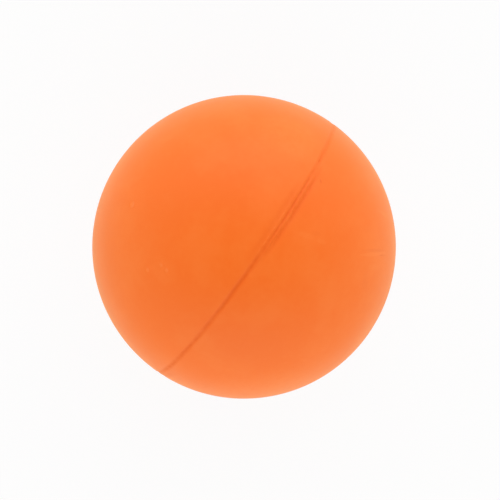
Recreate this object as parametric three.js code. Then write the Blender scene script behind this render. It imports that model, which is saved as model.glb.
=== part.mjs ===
// A hollow rubber squash ball, 60 mm across, joined from two moulded half shells.
// Cement bonds the two rims. A strip of trimmed flash fills the V left outside the joint,
// and a bead of cement fills the V left inside it and stands into the air space.
// Millimetres, +Z up. The origin is the ball's centre, the seam lies in the XZ plane,
// and every piece is turned about the Y axis.
import * as THREE from "three";

// Driving dimensions
const ballDiameter = 60;
const wallThickness = 4;
const bondThickness = 0.2; // cured cement between the two rims
const seamWidth = 1.0; // mouth of the V between the rims' outer chamfers
const seamDepth = 0.6; // depth of that V below the ball's surface
const flashRecess = 0.06; // trimmed flash below the ball's surface
const beadWidth = 1.8; // mouth of the V between the rims' inner chamfers
const beadDepth = 0.5; // depth of that V into the wall
const beadHeight = 0.7; // crest of the cement bead above the inner surface

// Facets of the turned solids. All pieces share the facets round the axis, so that their faces meet.
const facetsAround = 64;
const outerRings = 16;
const innerRings = 12;
const crestSteps = 6;

// Finishes
const rubberOrange = 0xf97533;
const cementAmber = 0xc08a52;
const rubberRoughness = 0.6;
const cementRoughness = 0.45;

// Sizes that follow from the driving dimensions
const outerRadius = ballDiameter / 2;
const innerRadius = outerRadius - wallThickness;
const rimY = bondThickness / 2;
const seamRoot = outerRadius - seamDepth;
const seamMouth = pointOnCircle(outerRadius, seamWidth / 2);
const beadRoot = innerRadius + beadDepth;
const beadMouth = pointOnCircle(innerRadius, beadWidth / 2);

// The point of a circle round the origin at a given height along the axis.
function pointOnCircle(radius, y) {
  return new THREE.Vector2(Math.sqrt(radius * radius - y * y), y);
}

// Points of a quarter arc from a point of the circle up to the pole on the axis.
function arcToPole(start, rings) {
  const radius = start.length();
  const startAngle = Math.atan2(start.y, start.x);
  const points = [start];
  for (let ring = 1; ring < rings; ring += 1) {
    const angle = startAngle + ((Math.PI / 2 - startAngle) * ring) / rings;
    points.push(new THREE.Vector2(radius * Math.cos(angle), radius * Math.sin(angle)));
  }
  points.push(new THREE.Vector2(0, radius));
  return points;
}

// The same outline on the other side of the seam, run the other way so that it still faces out.
function mirrored(outline) {
  return outline.map((point) => new THREE.Vector2(point.x, -point.y)).reverse();
}

function turned(outline) {
  return new THREE.LatheGeometry(outline, facetsAround);
}

function piece(name, geometry, color, roughness) {
  const material = new THREE.MeshStandardMaterial({ color, roughness, metalness: 0 });
  const mesh = new THREE.Mesh(geometry, material);
  mesh.name = name;
  return mesh;
}

// Section of one half shell: inner surface from its pole, chamfered rim, outer surface to its pole.
function halfShellOutline() {
  return [
    ...arcToPole(beadMouth, innerRings).reverse(),
    new THREE.Vector2(beadRoot, rimY),
    new THREE.Vector2(seamRoot, rimY),
    ...arcToPole(seamMouth, outerRings),
  ];
}

// Section of the cement between the rims: a flat ring as thick as the bond.
function cementOutline() {
  return [
    new THREE.Vector2(beadRoot, rimY),
    new THREE.Vector2(beadRoot, -rimY),
    new THREE.Vector2(seamRoot, -rimY),
    new THREE.Vector2(seamRoot, rimY),
    new THREE.Vector2(beadRoot, rimY),
  ];
}

// Section of the flash: it fills the outer V up to its trimmed face, which lies below the surface.
function flashOutline() {
  const root = new THREE.Vector2(seamRoot, rimY);
  const filledShare = 1 - flashRecess / seamDepth;
  const edge = root.clone().lerp(seamMouth, filledShare);
  const upperSide = [edge, root];
  return [...upperSide, ...mirrored(upperSide), edge];
}

// Section of the inner bead: it fills the inner V and its crest is half an ellipse.
function beadOutline() {
  const root = new THREE.Vector2(beadRoot, rimY);
  const crest = [];
  for (let step = 0; step <= crestSteps; step += 1) {
    const angle = (Math.PI * step) / crestSteps;
    const x = beadMouth.x - beadHeight * Math.sin(angle);
    const y = beadMouth.y * Math.cos(angle);
    crest.push(new THREE.Vector2(x, y));
  }
  return [root, ...crest, new THREE.Vector2(beadRoot, -rimY), root];
}

const ball = new THREE.Group();
ball.add(
  piece("right_half_shell", turned(halfShellOutline()), rubberOrange, rubberRoughness),
  piece("left_half_shell", turned(mirrored(halfShellOutline())), rubberOrange, rubberRoughness),
  piece("cement_ring", turned(cementOutline()), cementAmber, cementRoughness),
  piece("seam_flash", turned(flashOutline()), rubberOrange, rubberRoughness),
  piece("inner_bead", turned(beadOutline()), cementAmber, cementRoughness),
);

export default ball;
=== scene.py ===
import math

import bpy
from mathutils import Matrix, Vector, noise


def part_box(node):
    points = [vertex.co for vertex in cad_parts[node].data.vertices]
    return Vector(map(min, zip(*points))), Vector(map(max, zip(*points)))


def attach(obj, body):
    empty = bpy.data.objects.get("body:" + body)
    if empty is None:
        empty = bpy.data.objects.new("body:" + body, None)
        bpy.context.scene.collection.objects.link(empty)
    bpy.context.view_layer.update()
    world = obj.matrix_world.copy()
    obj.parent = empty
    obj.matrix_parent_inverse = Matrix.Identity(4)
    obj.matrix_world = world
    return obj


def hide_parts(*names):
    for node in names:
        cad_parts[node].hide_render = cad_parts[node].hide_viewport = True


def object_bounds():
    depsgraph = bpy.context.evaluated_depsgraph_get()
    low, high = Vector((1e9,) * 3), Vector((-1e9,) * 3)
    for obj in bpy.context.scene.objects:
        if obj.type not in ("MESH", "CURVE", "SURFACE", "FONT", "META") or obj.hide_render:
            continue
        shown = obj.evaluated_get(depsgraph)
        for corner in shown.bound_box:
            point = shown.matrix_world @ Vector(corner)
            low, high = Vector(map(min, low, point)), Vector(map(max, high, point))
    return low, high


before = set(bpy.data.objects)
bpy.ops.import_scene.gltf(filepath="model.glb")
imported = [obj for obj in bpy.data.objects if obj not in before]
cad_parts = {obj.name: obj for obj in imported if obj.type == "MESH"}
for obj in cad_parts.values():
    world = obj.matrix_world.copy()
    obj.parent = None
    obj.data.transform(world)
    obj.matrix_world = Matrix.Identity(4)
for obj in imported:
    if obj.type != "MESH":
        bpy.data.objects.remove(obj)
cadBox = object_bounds()

mm = 0.001
hair = 0.01 * mm  # slack when points are picked by their place
weld = 0.001 * mm  # points closer than this become one
leastWeight = 0.001  # a smaller weight leaves a point where it is
bellReach = 3  # widths from its middle, past which a bell is next to nothing
creaseAngle = 40  # degrees, past which an edge stays sharp


# sizes that the frame gives
def points(node):
    return [vertex.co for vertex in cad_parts[node].data.vertices]


def offAxis(at):
    # distance from the Y axis, which every piece is turned about
    return math.hypot(at.x, at.z)


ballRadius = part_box("right_half_shell")[1].y
airRadius = min(at.length for at in points("right_half_shell"))
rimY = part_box("right_half_shell")[0].y  # half the cement between the rims
seamRoot = max(offAxis(at) for at in points("cement_ring"))  # bottom of the outer V
seamMouth = min(at.y for at in points("right_half_shell") if at.length > ballRadius - hair)
beadRoot = min(offAxis(at) for at in points("cement_ring"))  # bottom of the inner V
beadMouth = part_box("inner_bead")[1].y
beadFoot = math.sqrt(airRadius ** 2 - beadMouth ** 2)  # off the axis, where the bead meets the inner surface
beadCrest = min(offAxis(at) for at in points("inner_bead"))
print("frame: ball radius", ballRadius, "air", airRadius, "seam", seamRoot, seamMouth)


# small helpers for working by hand
def deselectAll():
    if bpy.context.object and bpy.context.object.mode != "OBJECT":
        bpy.ops.object.mode_set(mode="OBJECT")
    bpy.ops.object.select_all(action="DESELECT")


def selectWhere(piece, test, kind="VERT"):
    # picks points, or edges whose two ends pass, and stays in edit mode
    bpy.ops.object.mode_set(mode="EDIT")
    bpy.ops.mesh.select_mode(type=kind)
    bpy.ops.mesh.select_all(action="DESELECT")
    bpy.ops.object.mode_set(mode="OBJECT")
    verts = piece.data.vertices
    if kind == "VERT":
        for vertex in verts:
            vertex.select = test(vertex.co)
    else:
        for edge in piece.data.edges:
            edge.select = all(test(verts[index].co) for index in edge.vertices)
    bpy.ops.object.mode_set(mode="EDIT")


def applyModifier(piece, kind, **settings):
    modifier = piece.modifiers.new(kind.title(), kind)
    for key, value in settings.items():
        setattr(modifier, key, value)
    bpy.context.view_layer.objects.active = piece
    bpy.ops.object.modifier_apply(modifier=modifier.name)


def push(piece, name, weightAt, strength, grain=None):
    # moves the surface along its normals by a weight that follows a rule of place
    group = piece.vertex_groups.new(name=name)
    for vertex in piece.data.vertices:
        weight = weightAt(vertex.co)
        if weight > leastWeight:
            group.add([vertex.index], min(weight, 1.0), "REPLACE")
    settings = {"vertex_group": name, "strength": strength, "mid_level": 0}
    if grain:
        clouds = bpy.data.textures.new(piece.name + "_" + name, "CLOUDS")
        clouds.noise_scale = grain
        settings.update(texture=clouds, texture_coords="LOCAL", mid_level=0.5)
    applyModifier(piece, "DISPLACE", **settings)


def finishPiece(piece, node):
    piece.vertex_groups.clear()
    bpy.ops.object.shade_smooth_by_angle(angle=math.radians(creaseAngle))
    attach(piece, "root")
    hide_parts(node)
    print(piece.name, "made:", len(piece.data.polygons), "faces")


def smoothStep(low, high, value):
    share = min(max((value - low) / (high - low), 0.0), 1.0)
    return share * share * (3 - 2 * share)


def bell(offset, width):
    return math.exp(-((offset / width) ** 2))


def along(stretches, at):
    # 1 inside the given stretches of the seam: start, end, rise and fall in degrees of turn,
    # which is 0 at the top and grows towards +X
    turn = math.degrees(math.atan2(at.x, at.z))
    shares = [
        smoothStep(start, start + rise, turn) * (1 - smoothStep(end - fall, end, turn))
        for start, end, rise, fall in stretches
    ]
    return max(shares)


# every piece is turned from a section beside the axis
def startSection(name, inner, outer, halfWidth):
    deselectAll()
    bpy.ops.mesh.primitive_plane_add(size=1, location=((inner + outer) / 2, 0, 0))
    piece = bpy.context.object
    piece.name = name
    piece.scale = (outer - inner, 2 * halfWidth, 1)
    bpy.ops.object.transform_apply(location=True, scale=True)
    return piece


def turnRound(piece, steps):
    # the section's outline goes once round the axis
    bpy.ops.object.mode_set(mode="EDIT")
    bpy.ops.mesh.select_all(action="SELECT")
    bpy.ops.mesh.delete(type="ONLY_FACE")
    bpy.ops.object.mode_set(mode="OBJECT")
    applyModifier(
        piece, "SCREW", axis="Y", angle=math.tau, steps=steps, render_steps=steps,
        use_merge_vertices=True, merge_threshold=weld,
    )
    bpy.ops.object.mode_set(mode="EDIT")
    bpy.ops.mesh.select_all(action="SELECT")
    bpy.ops.mesh.remove_doubles(threshold=weld)
    bpy.ops.mesh.normals_make_consistent(inside=False)
    bpy.ops.object.mode_set(mode="OBJECT")


# two moulded half shells, with the marks of trimming beside the seam
shell = {
    "around": 512,
    "arcPoints": 180,  # in a whole circle
    "airArcPoints": 120,
    "loops": [2.3, 1.9, 1.6, 1.4, 1.25, 1.13, 1.03, 0.94, 0.86, 0.78, 0.7, 0.62],  # mm beside the seam
    "edge": 0.05 * mm,  # rounding of the rims' outer edges
    "edgeSteps": 2,
    "skin": 0.25 * mm,  # points less deep than this belong to the outer surface
    "swell": 0.02 * mm,  # slow unevenness of the moulded rubber
    "swellSize": 9 * mm,
    "swellStart": (0.5 * mm, 1.3 * mm),  # it grows from nothing at the seam
}

score = {
    # a slip of the trimming knife, which leaves the seam and comes back to it
    "stretches": {1: [(-46, 6, 16, 20), (118, 160, 4, 14)], -1: [(-162, -126, 4, 12)]},
    "apart": {1: [(-48, 8, 8, 16), (116, 162, 6, 14)], -1: [(-164, -124, 6, 12)]},
    "offsets": (0.5 * mm, 0.92 * mm),  # at its ends and along its middle
    "width": 0.4 * mm,
    "depth": 0.11 * mm,
}

buff = {
    # a shallow dip left by the buffing wheel
    "stretches": {1: [(62, 104, 10, 12)], -1: [(-34, 8, 10, 14), (150, 178, 8, 8)]},
    "offset": 1.2 * mm,
    "width": 0.55 * mm,
    "depth": 0.042 * mm,
}

lip = {
    # rubber that the knife has rolled up at the edge
    "stretches": {1: [(-25, -6, 5, 5), (120, 156, 8, 8)], -1: [(-27, 1, 6, 5), (-110, -84, 8, 10)]},
    "offset": 0.54 * mm,
    "width": 0.11 * mm,
    "height": 0.04 * mm,
    "tearSize": 0.9 * mm,  # it is torn into short lengths
    "tearLevels": (-0.3, 0.3),
}


shellMap = {
    # skin and inside lie flat round their poles, so that no cut crosses the skin
    "name": "OFBake",  # the export bakes through a map of this name
    "skin": (0.41, 0.59, 0.4),  # middle and radius on the map
    "inside": (0.83, 0.17, 0.16),
}


def layFlat(piece, side):
    verts = piece.data.vertices
    corners = piece.data.loops
    layer = piece.data.uv_layers.new(name=shellMap["name"])
    for face in piece.data.polygons:
        outer = face.center.length > seamRoot
        sign = 1 if outer else -1
        start = ballRadius if outer else airRadius
        across, up, radius = shellMap["skin" if outer else "inside"]
        reach = start * math.pi / 2 + sign * (start - seamRoot)
        for index in face.loop_indices:
            at = verts[corners[index].vertex_index].co
            # the way along the section from the pole, then along the rim
            walk = start * math.acos(min(side * at.y / at.length, 1)) + sign * (start - at.length)
            scale = radius * walk / reach / max(offAxis(at), hair)
            layer.uv[index].vector = (across + scale * at.x, up - sign * side * scale * at.z)


def drawHalfSection(name, side):
    # two arcs from the poles, joined by the rim with a V at each of its edges
    loops = [loop * mm for loop in shell["loops"]] + [seamMouth]
    places = [(math.sqrt(ballRadius ** 2 - offset ** 2), offset) for offset in loops]
    places += [(seamRoot, rimY), (beadRoot, rimY), (beadFoot, beadMouth)]
    deselectAll()
    bpy.ops.mesh.primitive_circle_add(vertices=shell["arcPoints"], radius=ballRadius)
    piece = bpy.context.object
    piece.name = name
    bpy.ops.object.mode_set(mode="EDIT")
    bpy.ops.mesh.primitive_circle_add(vertices=shell["airArcPoints"], radius=airRadius)
    selectWhere(piece, lambda at: at.x < -hair or side * at.y < loops[0] + hair)
    bpy.ops.mesh.delete(type="VERT")
    bpy.ops.object.mode_set(mode="OBJECT")

    middle = (ballRadius + airRadius) / 2
    lowFirst = sorted((vertex.co.copy() for vertex in piece.data.vertices), key=lambda at: side * at.y)
    arcEnd = next(at for at in lowFirst if at.length > middle)
    airArcEnd = next(at for at in lowFirst if at.length < middle)
    selectWhere(piece, lambda at: (at - arcEnd).length < hair)
    pen = arcEnd
    for x, offset in places:
        step = Vector((x, side * offset, 0)) - pen
        bpy.ops.mesh.extrude_vertices_move(TRANSFORM_OT_translate={"value": step})
        pen = pen + step
    selectWhere(piece, lambda at: (at - pen).length < hair or (at - airArcEnd).length < hair)
    bpy.ops.mesh.edge_face_add()
    return piece


def makeHalfShell(name, node, side):
    piece = drawHalfSection(name, side)
    turnRound(piece, shell["around"])

    def onMouth(at):
        return at.length > ballRadius - hair and abs(at.y) < seamMouth + hair

    selectWhere(piece, onMouth, "EDGE")
    bpy.ops.mesh.bevel(offset=shell["edge"], segments=shell["edgeSteps"])
    bpy.ops.object.mode_set(mode="OBJECT")
    print(name, "closed:", len(piece.data.vertices), "points")

    def onSkin(at):
        return at.length > ballRadius - shell["skin"]

    def markWeight(mark, offset, at):
        # how strongly a mark that lies that far beside the seam is felt at a point
        away = side * at.y - offset
        if not onSkin(at) or away > bellReach * mark["width"]:
            return 0
        return bell(away, mark["width"]) * along(mark["stretches"][side], at)

    def scoreWeight(at):
        near, far = score["offsets"]
        offset = near + (far - near) * along(score["apart"][side], at)
        return markWeight(score, offset, at)

    def buffWeight(at):
        return markWeight(buff, buff["offset"], at)

    def lipWeight(at):
        torn = smoothStep(*lip["tearLevels"], noise.noise(at / lip["tearSize"]))
        return torn * markWeight(lip, lip["offset"], at)

    def swellWeight(at):
        return smoothStep(*shell["swellStart"], side * at.y) if onSkin(at) else 0

    push(piece, "score", scoreWeight, -score["depth"])
    push(piece, "buff", buffWeight, -buff["depth"])
    push(piece, "lip", lipWeight, lip["height"])
    push(piece, "swell", swellWeight, shell["swell"], shell["swellSize"])
    layFlat(piece, side)
    finishPiece(piece, node)
    return piece


rightShell = makeHalfShell("right_shell", "right_half_shell", 1)
leftShell = makeHalfShell("left_shell", "left_half_shell", -1)


# the trimmed flash that fills the V round the outside
flash = {
    "around": 1024,
    "cuts": 15,  # extra points across the trimmed face
    "recess": 0.03 * mm,  # trimmed face below the ball's surface
    "edgeFade": 4,  # power by which marks fade towards the edges of the face
    "groove": 0.1 * mm,  # parting line down the middle of the face
    "grooveWidths": (0.36 * mm, 0.23 * mm),  # where it is open and where it is pinched
    "wander": 0.09 * mm,  # how far it strays to either side
    "wanderSize": 4 * mm,
    "pinched": [(-82, -3, 10, 7), (96, 146, 12, 12)],
    "shallow": [
        (-110, -39, 10, 15), (-45, -30, 3, 11), (-14, 8, 14, 18),
        (16, 46, 30, 30), (30, 82, 52, 52), (54, 108, 30, 30), (150, 178, 12, 12),
    ],
    "shallowBy": 0.65,  # share of the groove that is missing there
    "torn": 0.025 * mm,  # roughness of the trimmed face
    "tornSize": 0.6 * mm,
}


def makeFlash():
    top = ballRadius - flash["recess"]
    filled = (top - seamRoot) / (ballRadius - seamRoot)
    halfWidth = rimY + filled * (seamMouth - rimY)
    middle = (seamRoot + top) / 2
    piece = startSection("flash_strip", seamRoot, top, halfWidth)
    selectWhere(piece, lambda at: at.x < middle)
    bpy.ops.transform.resize(value=(1, rimY / halfWidth, 1), center_override=(0, 0, 0))
    selectWhere(piece, lambda at: at.x > middle, "EDGE")
    bpy.ops.mesh.subdivide(number_cuts=flash["cuts"])
    turnRound(piece, flash["around"])

    def faceShare(at):
        # 0 at the edges of the trimmed face and 1 over most of it
        return 1 - (at.y / halfWidth) ** flash["edgeFade"] if offAxis(at) > middle else 0

    def grooveWeight(at):
        if faceShare(at) == 0:
            return 0
        wide, narrow = flash["grooveWidths"]
        width = wide + (narrow - wide) * along(flash["pinched"], at)
        depth = 1 - flash["shallowBy"] * along(flash["shallow"], at)
        stray = flash["wander"] * noise.noise(Vector((at.x, 0, at.z)) / flash["wanderSize"])
        return depth * bell(at.y - stray, width) * faceShare(at)

    push(piece, "groove", grooveWeight, -flash["groove"])
    push(piece, "torn", faceShare, flash["torn"], flash["tornSize"])
    finishPiece(piece, "seam_flash")
    return piece


# the cement between the rims, and the bead of it that stands into the air space
cement = {
    "around": 512,
    "crestPoints": 32,
    "lump": 0.3 * mm,  # uneven squeeze of the bead
    "lumpSize": 3 * mm,
}


def makeCementFilm():
    piece = startSection("cement_film", beadRoot, seamRoot, rimY)
    turnRound(piece, cement["around"])
    finishPiece(piece, "cement_ring")
    return piece


def makeCementBead():
    deselectAll()
    bpy.ops.mesh.primitive_circle_add(
        vertices=cement["crestPoints"], radius=beadMouth, location=(beadFoot, 0, 0)
    )
    piece = bpy.context.object
    piece.name = "cement_bead"
    piece.scale.x = (beadFoot - beadCrest) / beadMouth
    bpy.ops.object.transform_apply(location=True, scale=True)
    # the half that faces the air stays, and its ends are drawn into the V
    selectWhere(piece, lambda at: at.x > beadFoot + hair)
    bpy.ops.mesh.delete(type="VERT")
    selectWhere(piece, lambda at: at.x > beadFoot - hair)
    bpy.ops.mesh.extrude_vertices_move(TRANSFORM_OT_translate={"value": (beadRoot - beadFoot, 0, 0)})
    bpy.ops.transform.resize(value=(1, rimY / beadMouth, 1), center_override=(0, 0, 0))
    bpy.ops.mesh.edge_face_add()
    turnRound(piece, cement["around"])

    def lumpWeight(at):
        return smoothStep(beadFoot, beadCrest, offAxis(at))

    push(piece, "lumps", lumpWeight, cement["lump"], cement["lumpSize"])
    finishPiece(piece, "inner_bead")
    return piece


flashStrip = makeFlash()
cementFilm = makeCementFilm()
cementBead = makeCementBead()


# shader sums
class Wire:
    # one socket, so that sums of values read as plain expressions
    def __init__(self, paint, socket):
        self.paint = paint
        self.socket = socket

    def join(self, operation, first, second):
        return self.paint.node("ShaderNodeMath", {"operation": operation}, {0: first, 1: second})

    def __add__(self, other):
        return self.join("ADD", self, other)

    def __radd__(self, other):
        return self.join("ADD", other, self)

    def __sub__(self, other):
        return self.join("SUBTRACT", self, other)

    def __rsub__(self, other):
        return self.join("SUBTRACT", other, self)

    def __mul__(self, other):
        return self.join("MULTIPLY", self, other)

    def __rmul__(self, other):
        return self.join("MULTIPLY", other, self)


class Paint:
    # a node tree and the one method that adds nodes to it
    def __init__(self, tree):
        self.tree = tree

    def node(self, kind, settings=None, sockets=None, out=0):
        made = self.tree.nodes.new(kind)
        for key, value in (settings or {}).items():
            setattr(made, key, value)
        for key, value in (sockets or {}).items():
            self.feed(made.inputs[key], value)
        return Wire(self, made.outputs[out])

    def feed(self, socket, value):
        if isinstance(value, Wire):
            self.tree.links.new(value.socket, socket)
        else:
            socket.default_value = value

    def mix(self, share, low, high):
        # two colours
        settings = {"data_type": "RGBA", "clamp_factor": True}
        return self.node("ShaderNodeMix", settings, {0: share, 6: low, 7: high}, out=2)

    def ramp(self, value, low, high, shape="SMOOTHSTEP"):
        # 0 at low, 1 at high
        sockets = {"Value": value, "From Min": low, "From Max": high}
        return self.node("ShaderNodeMapRange", {"interpolation_type": shape}, sockets)

    def noise(self, place, size, detail):
        # size in the units of place
        return self.node("ShaderNodeTexNoise", None, {"Vector": place, "Scale": 1 / size, "Detail": detail})

    def dot(self, place, way):
        settings = {"operation": "DOT_PRODUCT"}
        return self.node("ShaderNodeVectorMath", settings, {0: place, 1: way}, out="Value")

    def bump(self, height, distance):
        return self.node("ShaderNodeBump", None, {"Height": height, "Distance": distance}, out="Normal")

    def placeMm(self):
        # the point on the piece, in millimetres
        place = self.node("ShaderNodeTexCoord", out="Object")
        return self.node("ShaderNodeVectorMath", {"operation": "SCALE"}, {0: place, "Scale": 1 / mm})

    def blend(self, share, shader, other):
        # the surface goes from its first shader to another one by a share
        first = Wire(self, shader.outputs[0])
        mixed = self.node("ShaderNodeMixShader", None, {0: share, 1: first, 2: other})
        self.feed(self.tree.nodes["Material Output"].inputs["Surface"], mixed)


def newMaterial(name):
    material = bpy.data.materials.new(name)
    material.use_nodes = True
    paint = Paint(material.node_tree)
    return material, paint, material.node_tree.nodes["Principled BSDF"]


rubberLook = {
    "colour": (0.94, 0.145, 0.003, 1),
    "bloomAndHighlight": (0.96, 0.179, 0.016, 1),  # paler, from dust and bloom, and painted highlight and painted light
    "shadeAndDirt": (0.855, 0.113, 0.002, 1),  # painted shade, with some dirt, in the seam and in low spots beside it
    "shadeAndDirtMatt": 0.2,  # how far it hides the rubber's shine, a painted shade of the seam's reflections
    "shadeAndDirtDepths": (0.0, 0.13),  # mm below the ball's surface, over which the painted shade grows
    "shadeAndDirtReach": (2.4, 1.8),  # mm beside the seam
    "shadeAndDirtShares": (0.75, 0.5),  # spread evenly and left in streaks
    "streakSize": 1.25,  # mm
    "streakDetail": 2,
    "streakLevels": (0.3, 0.7),
    "highlightAndWearHeights": (0.006, 0.03),  # mm above the ball's surface, where an edge is painted pale: painted highlight, and rubbing
    "patchSize": 9,  # mm
    "patchLevels": (0.4, 0.7),
    "dustSize": 1.4,  # mm
    "grainSize": 0.22,  # mm
    "grainDepth": 0.006 * mm,
    "detail": 3,  # of patches, dust and grain
    "bloomStart": -0.35,  # share of bloom where nothing below adds to it
    "patchBloom": 0.5,
    "dustBloom": 0.6,
    "grainBloom": 0.1,
    "highlightAndWearPale": 0.9,
    "spotShares": (0.7, 0.6),  # of each spot, even and in streaks
    "pitDepth": 0.06 * mm,
    "pitDustAndHighlight": 0.75,
    "roughness": 0.42,
    "grainRoughness": 0.1,
    "shadeAndDirtRoughness": 0.1,
    "specular": 0.287,
    "sheen": 0.194,  # dusty edge
    "sheenRoughness": 0.59,
    "sheenTint": (1, 0.93, 0.22, 1),
}

# scuffs; the last three are broad faint paler patches, the first of which is painted light on the lower rim:
# turn and lean in degrees, length and width in mm, heading in degrees, paler or darker
scuffsAndPaintedLight = [
    (-33.5, 38.8, 12.0, 0.9, 137, 0.9),
    (-34.7, 38.0, 9.0, 0.9, 134, -0.25),
    (-38.4, 43.1, 3.6, 0.4, 137, -0.5),
    (-29.2, 42.2, 5.0, 1.6, 125, 0.35),
    (-53.7, 33.1, 7.0, 1.0, 131, 0.5),
    (-15.8, 9.6, 4.4, 1.3, 110, 0.35),
    (-17.7, 15.5, 2.6, 1.2, 111, 0.4),
    (-18.7, 12.2, 2.6, 1.2, 122, -0.15),
    (-19.8, 42.0, 5.0, 2.6, 53, -0.15),
    (-36.3, 4.1, 1.4, 0.45, 35, -0.9),
    # painted light: the lower rim made paler and warmer, as if more light fell there
    (56, 37, 32, 20, 120, 0.6),
    (-48.5, -13, 17, 13, 80, 0.6),
    (25.7, -23.7, 7, 6, 90, 0.35),
]

# specks that have dug in, painted paler as dust and as painted highlight: turn and lean in degrees, width in
# mm
pits = [
    (16.9, -51.3, 1.5),
    (31.0, -28.7, 1.1),
    (24.8, -25.7, 0.85),
    (24.6, -23.0, 1.0),
]


def spotMask(paint, place, turn, lean, length, width, heading):
    # a soft oval on the ball, turned from the seam's direction by the heading
    turn, lean, heading = (math.radians(angle) for angle in (turn, lean, heading))
    out = Vector((math.cos(lean) * math.sin(turn), math.sin(lean), math.cos(lean) * math.cos(turn)))
    onward = Vector((math.cos(turn), 0, -math.sin(turn)))
    upward = out.cross(onward)
    ahead = onward * math.cos(heading) + upward * math.sin(heading)
    aside = upward * math.cos(heading) - onward * math.sin(heading)
    run = paint.dot(place, ahead * (2 / length))
    drift = paint.dot(place, aside * (2 / width))
    nearSide = paint.ramp(paint.dot(place, out), 0, 1)
    return paint.ramp(run * run + drift * drift, 1, 0) * nearSide


def makeRubber(name):
    material, paint, shader = newMaterial(name)
    look = rubberLook
    place = paint.placeMm()
    reach = paint.node("ShaderNodeVectorMath", {"operation": "LENGTH"}, {0: place}, out="Value")
    depth = ballRadius / mm - reach
    across = paint.node("ShaderNodeSeparateXYZ", None, {0: place}, out="Y")
    beside = paint.node("ShaderNodeMath", {"operation": "ABSOLUTE"}, {0: across})
    nearSeam = paint.ramp(beside, *look["shadeAndDirtReach"])

    # noises of several sizes
    patches = paint.ramp(paint.noise(place, look["patchSize"], look["detail"]), *look["patchLevels"])
    dust = paint.noise(place, look["dustSize"], look["detail"])
    grain = paint.noise(place, look["grainSize"], look["detail"])
    streaks = paint.ramp(paint.noise(place, look["streakSize"], look["streakDetail"]), *look["streakLevels"])

    # painted shade and dirt in the low places of the seam, darker where deeper, and bloom over the rest
    even, streaky = look["shadeAndDirtShares"]
    shadeAndDirt = paint.ramp(depth, *look["shadeAndDirtDepths"], "LINEAR") * nearSeam * (even + streaky * streaks)
    # painted highlight, with some rubbing, on edges that stand above the surface beside the seam
    highlightAndWear = paint.ramp(0 - depth, *look["highlightAndWearHeights"]) * nearSeam
    pale = look["bloomStart"] + look["patchBloom"] * patches + look["dustBloom"] * dust
    pale = pale + look["grainBloom"] * grain + look["highlightAndWearPale"] * highlightAndWear

    # marks of use, and a patch of painted light
    dark = shadeAndDirt
    even, streaky = look["spotShares"]
    for *spot, strength in scuffsAndPaintedLight:
        spotShare = spotMask(paint, place, *spot) * (even + streaky * streaks)
        if strength > 0:
            pale = pale + strength * spotShare
        else:
            dark = dark - strength * spotShare
    relief = grain
    for turn, lean, width in pits:
        pit = spotMask(paint, place, turn, lean, width, width, 0)
        relief = relief - (look["pitDepth"] / look["grainDepth"]) * pit
        # each pit is painted paler: dust, and painted highlight on its lit wall
        pale = pale + look["pitDustAndHighlight"] * pit

    # toward the pale colour: dust and bloom, painted highlight on the lip and pits, and painted light on the
    # lower rim
    tone = paint.mix(pale, look["colour"], look["bloomAndHighlight"])
    # the seam's painted shade and dirt, and the dark scuffs, darken the tone
    tone = paint.mix(dark, tone, look["shadeAndDirt"])
    roughness = look["roughness"] + look["grainRoughness"] * grain + look["shadeAndDirtRoughness"] * shadeAndDirt
    paint.feed(shader.inputs["Base Color"], tone)
    paint.feed(shader.inputs["Roughness"], roughness)
    paint.feed(shader.inputs["Normal"], paint.bump(relief, look["grainDepth"]))
    shader.inputs["Specular IOR Level"].default_value = look["specular"]
    shader.inputs["Sheen Weight"].default_value = look["sheen"]
    shader.inputs["Sheen Roughness"].default_value = look["sheenRoughness"]
    shader.inputs["Sheen Tint"].default_value = look["sheenTint"]

    # painted shade of the shine: the seam's shaded and dirty low places lose part of their reflection
    matt = paint.node(
        "ShaderNodeBsdfPrincipled", None, {"Base Color": tone, "Roughness": 1, "Specular IOR Level": 0}
    )
    paint.blend(look["shadeAndDirtMatt"] * shadeAndDirt, shader, matt)
    return material


cementLook = {
    "colour": (0.53, 0.25, 0.08, 1),
    "thin": (0.68, 0.4, 0.17, 1),  # where it is squeezed thin
    "clotSize": 1.6,  # mm
    "clotDetail": 4,
    "clotLevels": (0.35, 0.7),
    "fineSize": 0.4,  # mm
    "fineDetail": 3,
    "fineRelief": 0.3,  # share of the clots' height
    "skinDepth": 0.05 * mm,
    "roughness": 0.38,
    "fineRoughness": 0.2,
}


def makeCement(name):
    material, paint, shader = newMaterial(name)
    look = cementLook
    place = paint.placeMm()
    clots = paint.noise(place, look["clotSize"], look["clotDetail"])
    fine = paint.noise(place, look["fineSize"], look["fineDetail"])
    tone = paint.mix(paint.ramp(clots, *look["clotLevels"]), look["colour"], look["thin"])
    relief = clots + look["fineRelief"] * fine
    paint.feed(shader.inputs["Base Color"], tone)
    paint.feed(shader.inputs["Roughness"], look["roughness"] + look["fineRoughness"] * fine)
    paint.feed(shader.inputs["Normal"], paint.bump(relief, look["skinDepth"]))
    return material


rubber = makeRubber("orange_rubber")
for piece in (rightShell, leftShell, flashStrip):
    piece.data.materials.append(rubber)
curedCement = makeCement("cured_cement")
for piece in (cementFilm, cementBead):
    piece.data.materials.append(curedCement)
print("materials made")


# camera and light
view = {
    "lens": 100,
    "nearest": 10 * mm,
    "distance": 276 * mm,
    "tilt": 6.2,  # degrees off the upright, towards -Y
    "turn": 125,  # degrees that the picture is turned, so that the seam runs corner to corner
    "slide": (1.17 * mm, -0.62 * mm),
}


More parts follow.
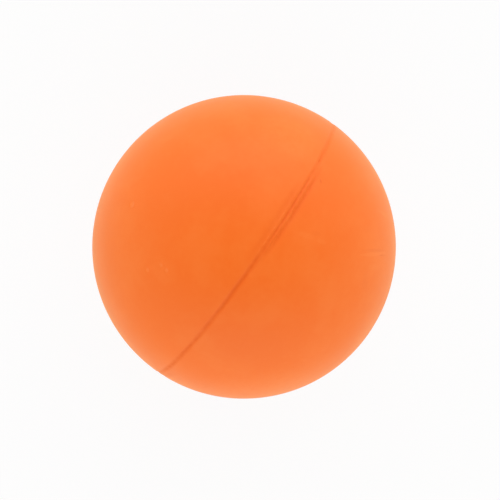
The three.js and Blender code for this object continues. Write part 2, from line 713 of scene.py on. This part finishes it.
def placeCamera():
    data = bpy.data.cameras.new("camera")
    data.lens = view["lens"]
    data.clip_start = view["nearest"]
    eye = bpy.data.objects.new("camera", data)
    bpy.context.scene.collection.objects.link(eye)
    turned = Matrix.Rotation(math.radians(view["tilt"]), 4, "X")
    turned = turned @ Matrix.Rotation(math.radians(view["turn"]), 4, "Z")
    slide = Vector((*view["slide"], view["distance"]))
    eye.matrix_world = turned @ Matrix.Translation(slide)
    bpy.context.scene.camera = eye
    return turned.to_3x3()


studio = {
    "zenith": 0.34,  # light from straight above
    "horizon": 1.19,  # light from the walls
    "leanHeading": 12,  # degrees from the picture's top to the brightest wall, clockwise
    "lean": 0.27,  # how much brighter that wall is
    "endsHeading": 2,  # the same way to one of two walls that face each other and are lit alike
    "ends": (1.07, 0.5),  # how much brighter they are, broadly and in their middles
    "key": 0.11,  # watts
    "keySize": 0.5,  # metres
    "keyDistance": 0.6,  # metres
    "keyLift": 45,  # degrees above the floor
    "floorSize": 4,  # metres
    "floorColour": (0.9, 0.9, 0.9, 1),
    "floorRoughness": 0.8,
    "floorShadow": 0.1,  # share of real shading that the white floor keeps
}
white = (1, 1, 1, 1)


def seenDirectly(paint):
    # 1 for camera, mirror and glass rays
    path = paint.node("ShaderNodeLightPath", out="Is Camera Ray")
    glossy = Wire(paint, path.socket.node.outputs["Is Glossy Ray"])
    through = Wire(paint, path.socket.node.outputs["Is Transmission Ray"])
    settings = {"operation": "ADD", "use_clamp": True}
    return paint.node("ShaderNodeMath", settings, {0: path + glossy, 1: through})


def lightWorld(brightWall, endWall):
    # walls brighter than the ceiling, and white where they are seen directly
    world = bpy.data.worlds.new("studio")
    bpy.context.scene.world = world
    world.use_nodes = True
    paint = Paint(world.node_tree)
    background = world.node_tree.nodes["Background"]
    way = paint.node("ShaderNodeTexCoord", out="Generated")
    height = paint.node("ShaderNodeSeparateXYZ", None, {0: way}, out="Z")
    side = paint.dot(way, endWall)
    ends = side * side
    broad, middle = studio["ends"]
    level = studio["horizon"] + (studio["zenith"] - studio["horizon"]) * height
    level = level + studio["lean"] * paint.dot(way, brightWall) + broad * ends + middle * ends * ends
    seen = seenDirectly(paint)
    paint.feed(background.inputs["Strength"], level + (1 - level) * seen)
    background.inputs["Color"].default_value = white


def hangKey(brightWall):
    lamp = bpy.data.lights.new("key", "AREA")
    lamp.energy = studio["key"]
    lamp.size = studio["keySize"]
    key = bpy.data.objects.new("key", lamp)
    bpy.context.scene.collection.objects.link(key)
    lift = math.radians(studio["keyLift"])
    aim = (brightWall * math.cos(lift) + Vector((0, 0, 1)) * math.sin(lift)).normalized()
    key.location = aim * studio["keyDistance"]
    key.rotation_mode = "QUATERNION"
    key.rotation_quaternion = aim.to_track_quat("Z", "Y")


def layFloor():
    deselectAll()
    bpy.ops.mesh.primitive_plane_add(size=studio["floorSize"], location=(0, 0, cadBox[0].z))
    floor = bpy.context.object
    floor.name = "floor"
    material, paint, shader = newMaterial("white_floor")
    shader.inputs["Base Color"].default_value = studio["floorColour"]
    shader.inputs["Roughness"].default_value = studio["floorRoughness"]
    shader.inputs["Specular IOR Level"].default_value = 0
    glow = paint.node("ShaderNodeEmission", None, {"Color": white, "Strength": 1})
    paint.blend(seenDirectly(paint) * (1 - studio["floorShadow"]), shader, glow)
    floor.data.materials.append(material)


cameraTurn = placeCamera()


def wallAt(heading):
    # the way to a wall, by its heading in the picture
    angle = math.radians(heading)
    return cameraTurn @ Vector((math.sin(angle), math.cos(angle), 0))


lightWorld(wallAt(studio["leanHeading"]), wallAt(studio["endsHeading"]))
hangKey(wallAt(studio["leanHeading"]))
layFloor()
bpy.context.scene.view_settings.view_transform = "Standard"
print("camera and light set")
